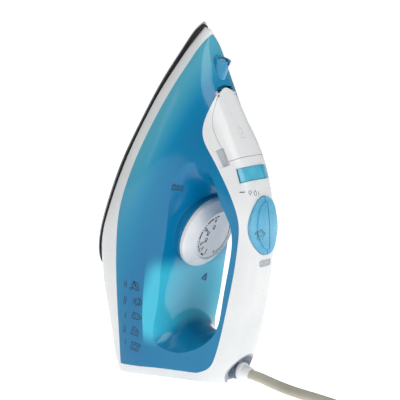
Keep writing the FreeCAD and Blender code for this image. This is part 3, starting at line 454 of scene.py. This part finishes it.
DROP = [(0, 4.0), (1.7, 1.6), (2.7, -0.8), (2.2, -2.6), (0, -3.6), (-2.2, -2.6), (-2.7, -0.8),
        (-1.7, 1.6)]


def wave(a, b, size):
    """A small rising wisp of steam."""
    return [(a, b), (a + 0.35 * size, b + 0.3 * size), (a - 0.1 * size, b + 0.65 * size),
            (a + 0.3 * size, b + size)]


ICONS = {
    "icon_leaf": ((16.5, 51.8, 51.0), [
        ([(-3.2, -3.4), (0.4, -3.6), (3.2, -1.2), (3.6, 3.0), (1.0, 2.6), (-2.2, 0.6)], 0.5, True),
        ([(-3.4, -3.8), (-0.6, -0.8), (2.4, 1.8)], 0.45, False),
        ([(-2.0, -3.0), (0.8, -0.4)], 0.45, False),
        (circle(3.6, -3.2, 1.1, count=10), 0.45, True)]),
    "icon_burst": ((3.6, 49.9, 56.0), [
        ([(-3.8, 0.6), (0, 3.9), (3.8, 0.6)], 0.6, False),
        ([(-3.8, -1.4), (0, 1.9), (3.8, -1.4)], 0.6, False),
        (wave(-1.6, -4.0, 2.4), 0.45, False), (wave(0.0, -4.0, 2.8), 0.45, False),
        (wave(1.6, -4.0, 2.4), 0.45, False)]),
    "icon_sole": ((-9.4, 49.1, 58.3), [
        ([(0, 4.6), (2.3, 1.2), (3.0, -3.4), (-3.0, -3.4), (-2.3, 1.2)], 0.55, True),
        (circle(0, 1.0, 0.35, count=8), 0.4, True), (circle(-1.1, -1.4, 0.35, count=8), 0.4, True),
        (circle(1.1, -1.4, 0.35, count=8), 0.4, True)]),
    "icon_drip": ((-23.0, 47.7, 60.2), [
        ([(-3.6, -2.6), (-3.2, 0.4), (-1.0, 2.8), (3.4, 3.2), (3.4, -2.6)], 0.55, True),
        ([(-1.8, -0.6), (1.8, -0.6)], 0.5, False), ([(-1.4, 1.0), (1.8, 1.2)], 0.5, False)]),
    "icon_tank": ((-36.6, 45.4, 63.0), [
        ([(-3.4, 3.4), (-3.4, -3.4), (3.4, -3.4), (3.4, 3.4)], 0.55, True),
        ([(-1.8, 1.6), (-1.8, -1.6), (1.8, -1.6), (1.8, 1.6)], 0.45, True),
        ([(-3.4, 4.4), (-1.6, 4.4)], 0.45, False)]),
}


# Short lines beside the icons: their middle along the iron, then the length of each.
CARE_LINES = ((24.0, (6.4, 5.0)), (9.6, (7.2, 7.0)), (-3.6, (5.4,)), (-16.4, (5.2, 7.6)),
              (-28.0, (5.0,)))
LEVEL_GLYPHS = {
    "m": [[(0, 0), (0, 2.5), (1.3, 2.5), (1.3, 0.6)], [(1.3, 2.5), (2.6, 2.5), (2.6, 0)]],
    "a": [[(0.1, 2.4), (2.2, 2.4), (2.2, 0)], [(2.2, 1.4), (0, 1.3), (0, 0.1), (2.2, 0.1)]],
    "x": [[(0, 0), (2.3, 2.5)], [(0, 2.5), (2.3, 0)]]}
LEVEL_STARTS = ((-4.9, "m"), (-1.2, "a"), (2.2, "x"))


def tank_marks():
    for name, (place, strokes) in ICONS.items():
        surface = Surface("water_tank", at(*place), LEFT, UP)
        make_marks(name, surface, strokes, "root", "print_dark")
    bars = Surface("water_tank", at(-9.0, 50.0, 50.0), LEFT, UP)
    rows = []
    for middle, lengths in CARE_LINES:
        for line, length in enumerate(lengths):
            low = -1.4 - 1.5 * line - 0.22 * middle
            half = length / 2
            rows.append(([(-middle - half, low - 0.1 * half), (-middle + half, low + 0.1 * half)],
                         0.42, False))
    make_marks("care_lines", bars, rows, "root", "print_dark")
    level = Surface("handle_liner", at(105.6, 37.6, 52.0), UP * 0.87 + LEFT * 0.48, FORWARD)
    letters = []
    for start, glyph in LEVEL_STARTS:
        for shape in LEVEL_GLYPHS[glyph]:
            letters.append(([(start + a, b + 0.4) for a, b in shape], 0.55, False))
    letters.append(([(-5.4, -0.9), (5.2, -0.9)], 0.7, False))
    make_marks("level_mark", level, letters, "root", "print_dark")


# The dial's scale. Angles in degrees run from the iron's tip towards its left side; the rest is mm.
DIAL_SCALE_RADIUS = 18.4
DIAL_DASHES = ((4, 10), (14, 19), (24, 46), (50, 52), (56, 60), (64, 66), (70, 92), (96, 98),
               (101, 103), (106, 108), (112, 118), (122, 128), (132, 136), (144, 158))
DIAL_LABELS = ((16, 3), (62, 4), (112, 5), (134, 3))          # middle angle, lines
DIAL_ICONS = ((22, 9.4), (68, 9.8), (104, 9.4))               # angle, radius
DIAL_SWEEP = (205, 300)
DIAL_BARS = ((162, 12.6, 17.4), (200, 15.6, 19.0))            # angle, inner and outer radius
BOLD = 1.5
THIN = 0.6


def dial_marks():
    """Heat scale on the dial's face: dashes, dots, small icons and bars, turning with the dial."""
    centre = Vector(JOINTS["dial_turn"]["pos_m"])
    surface = Surface("temperature_dial", centre, UP, LEFT)
    strokes = []

    def arc(radius, start, end, width):
        count = max(2, int((end - start) / 4))
        strokes.append((circle(0, 0, radius, start, end, count), width, False))

    for start, end in DIAL_DASHES:
        arc(DIAL_SCALE_RADIUS, start, end, BOLD)
    for middle, lines in DIAL_LABELS:
        for row in range(lines):
            arc(DIAL_SCALE_RADIUS - 2.2 - 1.2 * row, middle - 7 + row, middle + 5 - row, THIN)
    for middle, radius in DIAL_ICONS:
        turn = math.radians(middle)
        a, b = radius * math.cos(turn), radius * math.sin(turn)
        strokes.append((circle(a, b, 1.4, count=10), 0.7, True))
        strokes.append(([(a - 2.1, b - 1.3), (a - 2.1, b + 1.3)], THIN, False))
    arc(DIAL_SCALE_RADIUS + 0.4, *DIAL_SWEEP, 0.7)
    for middle, low, high in DIAL_BARS:
        turn = math.radians(middle)
        strokes.append(([(low * math.cos(turn), low * math.sin(turn)),
                         (high * math.cos(turn), high * math.sin(turn))], 0.8, False))
    make_marks("dial_scale", surface, strokes, "dial", "print_black")


def handle_marks():
    steam = Surface("burst_button", at(96.5, 10.0, 123.0), (UP + LEFT * 0.35 + FORWARD * 0.3), FORWARD)
    strokes = [([(-3.4, -0.6), (-4.4, 0.6), (0, 4.2), (4.4, 0.6), (3.4, -0.6)], 0.5, False),
               ([(-2.8, 0.4), (0, 2.6), (2.8, 0.4)], 0.45, False)]
    for a in (-2.0, 0.0, 2.0):
        strokes.append((wave(a, -2.2, 1.8), 0.4, False))
        strokes.append((wave(a - 0.3, -4.6, 1.4), 0.35, False))
    make_marks("steam_icon", steam, strokes, "burst", "print_grey")

    label = Surface("handle_shell", at(124.0, 12.0, 104.0), (UP * 0.8 + FORWARD * 0.6 + LEFT * 0.5),
                    FORWARD)
    strokes = [([(-9.4, 0.0), (-5.4, 0.4)], 0.8, False), (circle(-1.0, 0.6, 1.3, count=12), 0.4, True),
               ([(-1.7, -1.6), (-0.3, -1.6)], 0.4, False)]
    strokes.append(([(a * 0.55 + 4.0, b * 0.55 + 0.4) for a, b in DROP], 0.4, True))
    strokes.append(([(7.6, -1.2), (7.6, 2.2)], 0.4, False))
    make_marks("steam_scale", label, strokes, "root", "print_grey")

    pour = Surface("fill_lid", at(161.0, 3.0, 71.0), (UP * 0.65 + FORWARD * 0.75), FORWARD)
    strokes = [([(a * 0.9 + 0.6, b * 0.9 + 2.0) for a, b in DROP], 0.3, True),
               ([(-3.6, -4.6), (3.8, -4.6)], 0.3, False), (wave(-1.0, -4.0, 2.0), 0.3, False)]
    make_marks("pour_icon", pour, strokes, "lid", "print_pale", proud=0.1)


POINTER_PLACE = (-47.5, -17.0)      # mm forward and to the left of the dial's axis
POINTER_SHAPE = [(0, 3.6), (2.6, -1.8), (-2.6, -1.8)]
POINTER_PROUD = 0.5


def pointer_mark():
    """Raised triangle that the dial is read against, on the tank behind the dial."""
    centre = Vector(JOINTS["dial_turn"]["pos_m"])
    place = centre + (FORWARD * POINTER_PLACE[0] + LEFT * POINTER_PLACE[1]) * MM
    surface = Surface("handle_liner", place, UP, (FORWARD * 0.94 + LEFT * -0.34))
    make_marks("dial_pointer", surface, [(POINTER_SHAPE, 0.9, True)],
               "root", "mark_blue", proud=POINTER_PROUD)


# ---------------------------------------------------------------- cord
CORD_DIAMETER = 8.4
CORD_ROUTE = [(44, 0, 8), (68, -0.3, 7.6), (92, -3.5, 4.2), (116, -10, 4.2), (146, -14, 4.2),
              (176, -21, 4.2), (205, -30.5, 4.2), (235, -40.2, 4.2)]
TAIL_ROUTE = [(223.43, -22.08, 13.2), (229.94, -36.11, 13.6), (241.12, -48.05, 13.6),
              (256.59, -54.0, 13.6), (273.18, -54.47, 13.0), (289.68, -51.78, 12.8),
              (309, -44.2, 15.2), (328, -40.5, 18.5)]
COIL_CENTRE = (268.0, 4.7)
# One radius and one height for each turn, from the first to the last.
COIL_RADII = (50.4, 42.0, 33.6, 33.6, 42.0, 50.4)
COIL_LAYERS = (4.2, 4.2, 4.2, 12.6, 12.6, 12.6)
COIL_STEP = 10
COIL_START = -95          # direction from the coil's middle where the cord meets it
COIL_END = 5 * 360 + 290  # degrees turned where the cord leaves it
SHIFT_START = 300.0       # each turn steps to the next one between these angles
SHIFT_END = 345.0
CONTROL_GROW = 1.0038     # a smooth spline runs this much inside the points that it follows
RISE_DIP = 2.6            # how far the rising turn leans in, so that it clears its neighbours


def coil_points():
    points = []
    for angle in range(0, COIL_END + 1, COIL_STEP):
        turn = angle // 360
        part = min(1.0, max(0.0, (angle % 360 - SHIFT_START) / (SHIFT_END - SHIFT_START)))
        part = part * part * (3 - 2 * part)
        after = min(turn + 1, len(COIL_RADII) - 1)
        radius = COIL_RADII[turn] + (COIL_RADII[after] - COIL_RADII[turn]) * part
        z = COIL_LAYERS[turn] + (COIL_LAYERS[after] - COIL_LAYERS[turn]) * part
        if COIL_LAYERS[after] != COIL_LAYERS[turn]:
            radius -= RISE_DIP * 4 * part * (1 - part)
        direction = math.radians(angle + COIL_START)
        points.append((COIL_CENTRE[0] + radius * CONTROL_GROW * math.cos(direction),
                       COIL_CENTRE[1] + radius * CONTROL_GROW * math.sin(direction), z))
    return points


def make_cord():
    points = CORD_ROUTE + coil_points() + TAIL_ROUTE
    curve = bpy.data.curves.new("mains_cord", "CURVE")
    curve.dimensions = "3D"
    curve.bevel_depth = CORD_DIAMETER / 2 * MM
    curve.bevel_resolution = 6
    curve.resolution_u = 8
    curve.use_fill_caps = True
    spline = curve.splines.new("NURBS")
    spline.points.add(len(points) - 1)
    for point, place in zip(spline.points, points):
        point.co = (*(Vector(place) * MM), 1.0)
    spline.order_u = 3
    spline.use_endpoint_u = True
    cord = make_object("mains_cord", curve, "root", "cord_rubber")
    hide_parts("power_cord", "cord_coil", "cord_tail")


GLAND_START = Vector((42.5, 0, 8)) * MM
GLAND_RIBS = 5
RIB_PITCH = 1.9


def make_gland():
    """Turning strain relief: a ribbed sleeve, a smooth round ring and a tapered nose on the cord."""
    profile = [(-3.4, 7.6), (-0.4, 7.6), (-0.4, 6.0)]
    for rib in range(GLAND_RIBS):
        start = 1.6 + RIB_PITCH * rib
        swell = 7.2 - 0.12 * rib
        profile += [(start, 5.9), (start + 0.2, swell), (start + 1.1, swell), (start + 1.3, 5.9)]
    sleeve = turned("gland_sleeve", profile + [(11.4, 5.6)], GLAND_START)
    piece = make_object("gland_sleeve", sleeve, "gland", "gland_grey")
    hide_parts("cord_swivel")
    nose = [(10.0, 5.0), (10.2, 7.2), (10.7, 7.7), (11.4, 7.9), (13.0, 7.9), (13.7, 7.6),
            (14.0, 7.0), (14.2, 6.2), (15.6, 5.8), (18.4, 5.3), (21.0, 4.8), (21.6, 4.4)]
    ring = turned("gland_ring", nose, GLAND_START)
    make_object("gland_ring", ring, "gland", "white_plastic")


# ---------------------------------------------------------------- stage and light
WORLD_LIGHT = 0.24
WORLD_SEEN = 1.05         # what the camera sees of it is plain white
FLOOR_SIZE = 12.0
FLOOR_GLOW = 0.78         # keeps the floor white to the horizon, with faint shadows


def make_stage():
    bm = bmesh.new()
    bmesh.ops.create_grid(bm, x_segments=8, y_segments=8, size=FLOOR_SIZE)
    mesh = bpy.data.meshes.new("floor")
    bm.to_mesh(mesh)
    bm.free()
    floor = bpy.data.objects.new("floor", mesh)
    floor.location.z = -0.0002
    bpy.context.scene.collection.objects.link(floor)
    paper = finish("floor_paper", rgb(250, 250, 250), rgb(247, 247, 248), (0.7, 0.85),
                   60.0, 0.0001, 2.0, Emission_Strength=FLOOR_GLOW)
    paper.node_tree.nodes["Principled BSDF"].inputs["Emission Color"].default_value = (1, 1, 1, 1)
    floor.data.materials.append(paper)


# Name, place, point lit, size in metres, watts.
LIGHTS = (("key", (1.5, -0.35, 1.2), (0, 0, 0.14), (0.9, 1.3), 11.5),
          ("side", (-0.2, -1.7, 0.8), (0, 0, 0.16), (0.35, 1.2), 1.0),
          ("top", (0.1, 0.1, 2.0), (0, 0, 0), (1.8, 1.8), 8.5))


def area_light(name, place, target, size, power):
    data = bpy.data.lights.new(name, "AREA")
    data.shape = "RECTANGLE"
    data.size, data.size_y = size
    data.energy = power
    light = bpy.data.objects.new(name, data)
    light.location = place
    light.rotation_euler = (Vector(target) - Vector(place)).to_track_quat("-Z", "Y").to_euler()
    bpy.context.scene.collection.objects.link(light)


def make_light():
    world = bpy.data.worlds.new("studio")
    bpy.context.scene.world = world
    world.use_nodes = True
    tree = world.node_tree
    background = tree.nodes["Background"]
    background.inputs["Color"].default_value = (1, 1, 1, 1)
    path = tree.nodes.new("ShaderNodeLightPath")
    level = tree.nodes.new("ShaderNodeMapRange")
    level.inputs["To Min"].default_value = WORLD_LIGHT
    level.inputs["To Max"].default_value = WORLD_SEEN
    tree.links.new(path.outputs["Is Camera Ray"], level.inputs["Value"])
    tree.links.new(level.outputs["Result"], background.inputs["Strength"])
    for light in LIGHTS:
        area_light(*light)
    bpy.context.scene.view_settings.view_transform = "Standard"


make_camera()
make_cord()
make_gland()
finish_nodes()
tank_marks()
dial_marks()
handle_marks()
pointer_mark()
make_stage()
make_light()
